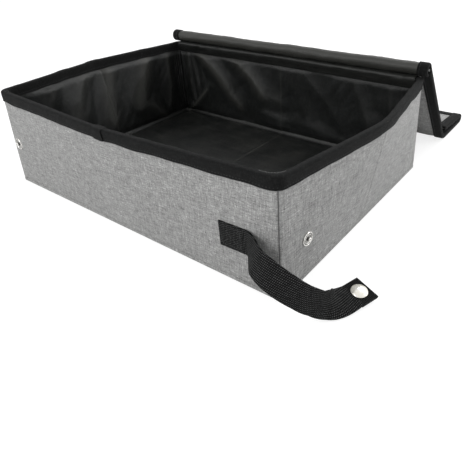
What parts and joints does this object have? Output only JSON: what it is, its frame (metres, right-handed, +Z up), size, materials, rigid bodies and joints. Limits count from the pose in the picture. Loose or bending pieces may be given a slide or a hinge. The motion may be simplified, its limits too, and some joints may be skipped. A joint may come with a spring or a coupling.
{
  "type": "foldable litter box",
  "caption": "Shallow fabric pet litter tray with boarded walls that fold in, a boarded lid that hangs open behind it, and a strap with a snap fastener.",
  "frame": {"origin": "middle of the tray's underside, on the floor", "axes": "+X along the tray towards the end with the strap, +Y from the front wall to the back wall and the lid, +Z up"},
  "size_m": [0.487, 0.5117, 0.1327],
  "materials": {
    "cover": "light grey melange, linen-look weave",
    "board": "plain stiffening board, covered all over",
    "lining": "black water-resistant coated cloth",
    "binding": "black woven tape",
    "webbing": "black twill webbing",
    "snap_metal": "bright nickel plate",
    "snap_cap": "pale nickel dome"
  },
  "bodies": {
    "root": {"base_cover": "cover", "base_board_left": "board", "base_board_right": "board", "floor_lining": "lining", "back_cover": "cover", "back_board_left": "board", "back_board_right": "board", "back_lining": "lining", "back_binding": "binding", "lid_hinge_welt": "binding"},
    "right_end_back": {"right_end_back_cover": "cover", "right_end_back_board": "board", "right_end_back_lining": "lining", "right_end_back_binding": "binding"},
    "right_end_front": {"right_end_front_cover": "cover", "right_end_front_board": "board", "right_end_front_lining": "lining", "right_end_front_binding": "binding", "right_snap_stud": "snap_metal", "right_snap_ring": "snap_metal", "right_snap_washer": "snap_metal"},
    "left_end_back": {"left_end_back_cover": "cover", "left_end_back_board": "board", "left_end_back_lining": "lining", "left_end_back_binding": "binding"},
    "left_end_front": {"left_end_front_cover": "cover", "left_end_front_board": "board", "left_end_front_lining": "lining", "left_end_front_binding": "binding"},
    "front_wall": {"front_cover": "cover", "front_board_left": "board", "front_board_right": "board", "front_lining": "lining", "front_binding": "binding", "left_snap_stud": "snap_metal", "left_snap_ring": "snap_metal", "left_snap_washer": "snap_metal", "strap_patch": "webbing"},
    "strap": {"strap_tail": "webbing", "strap_snap_cap": "snap_cap", "strap_snap_socket": "snap_metal"},
    "lid_rear": {"lid_rear_cover": "cover", "lid_rear_board": "board", "lid_rear_lining": "lining", "lid_hinge_roll": "lining", "lid_rear_binding_left": "binding", "lid_rear_binding_right": "binding"},
    "lid_middle": {"lid_middle_cover": "cover", "lid_middle_board": "board", "lid_middle_lining": "lining", "lid_middle_binding_left": "binding", "lid_middle_binding_right": "binding"},
    "lid_front": {"lid_front_cover": "cover", "lid_front_board": "board", "lid_front_lining": "lining", "lid_front_binding_left": "binding", "lid_front_binding_right": "binding", "lid_front_hem_binding": "binding", "lid_crease_band": "binding"}
  },
  "joints": [
    {"name": "ends_fold", "type": "hinge", "parent": "root", "child": "right_end_back", "pos_m": [0.189, 0.139, 0], "axis": [0, 0, -1], "range_deg": [0, 90]},
    {"name": "right_crease_fold", "type": "hinge", "parent": "right_end_back", "child": "right_end_front", "pos_m": [0.2216, 0, 0], "axis": [0, 0, 1], "range_deg": [0, 180.1]},
    {"name": "right_front_corner_fold", "type": "hinge", "parent": "right_end_front", "child": "front_wall", "pos_m": [0.189, -0.139, 0], "axis": [0, 0, -1], "range_deg": [0, 90.1]},
    {"name": "left_end_fold", "type": "hinge", "parent": "root", "child": "left_end_back", "pos_m": [-0.189, 0.139, 0], "axis": [0, 0, 1], "range_deg": [0, 90.1]},
    {"name": "left_crease_fold", "type": "hinge", "parent": "left_end_back", "child": "left_end_front", "pos_m": [-0.2216, 0, 0], "axis": [0, 0, -1], "range_deg": [0, 180.1]},
    {"name": "lid_hinge", "type": "hinge", "parent": "root", "child": "lid_rear", "pos_m": [0, 0.1477, 0.1255], "axis": [1, 0, 0], "range_deg": [0, 229.48]},
    {"name": "lid_middle_fold", "type": "hinge", "parent": "lid_rear", "child": "lid_middle", "pos_m": [0, 0.25851, 0.0071], "axis": [-1, 0, 0], "range_deg": [0, 49.6]},
    {"name": "lid_front_fold", "type": "hinge", "parent": "lid_middle", "child": "lid_front", "pos_m": [0, 0.33351, 0.0071], "axis": [-1, 0, 0], "range_deg": [0, 176.1]},
    {"name": "strap_swing", "type": "hinge", "parent": "front_wall", "child": "strap", "pos_m": [0.1639, -0.15065, 0.0495], "axis": [0, 0, -1], "range_deg": [0, 55]}
  ],
  "couplings": [
    {"joint": "right_crease_fold", "follows": "ends_fold", "ratio": 2},
    {"joint": "right_front_corner_fold", "follows": "ends_fold", "ratio": 1},
    {"joint": "left_end_fold", "follows": "ends_fold", "ratio": 1},
    {"joint": "left_crease_fold", "follows": "ends_fold", "ratio": 2},
    {"joint": "lid_middle_fold", "follows": "lid_hinge", "ratio": 0.21561},
    {"joint": "lid_front_fold", "follows": "lid_hinge", "ratio": 0.76696}
  ]
}
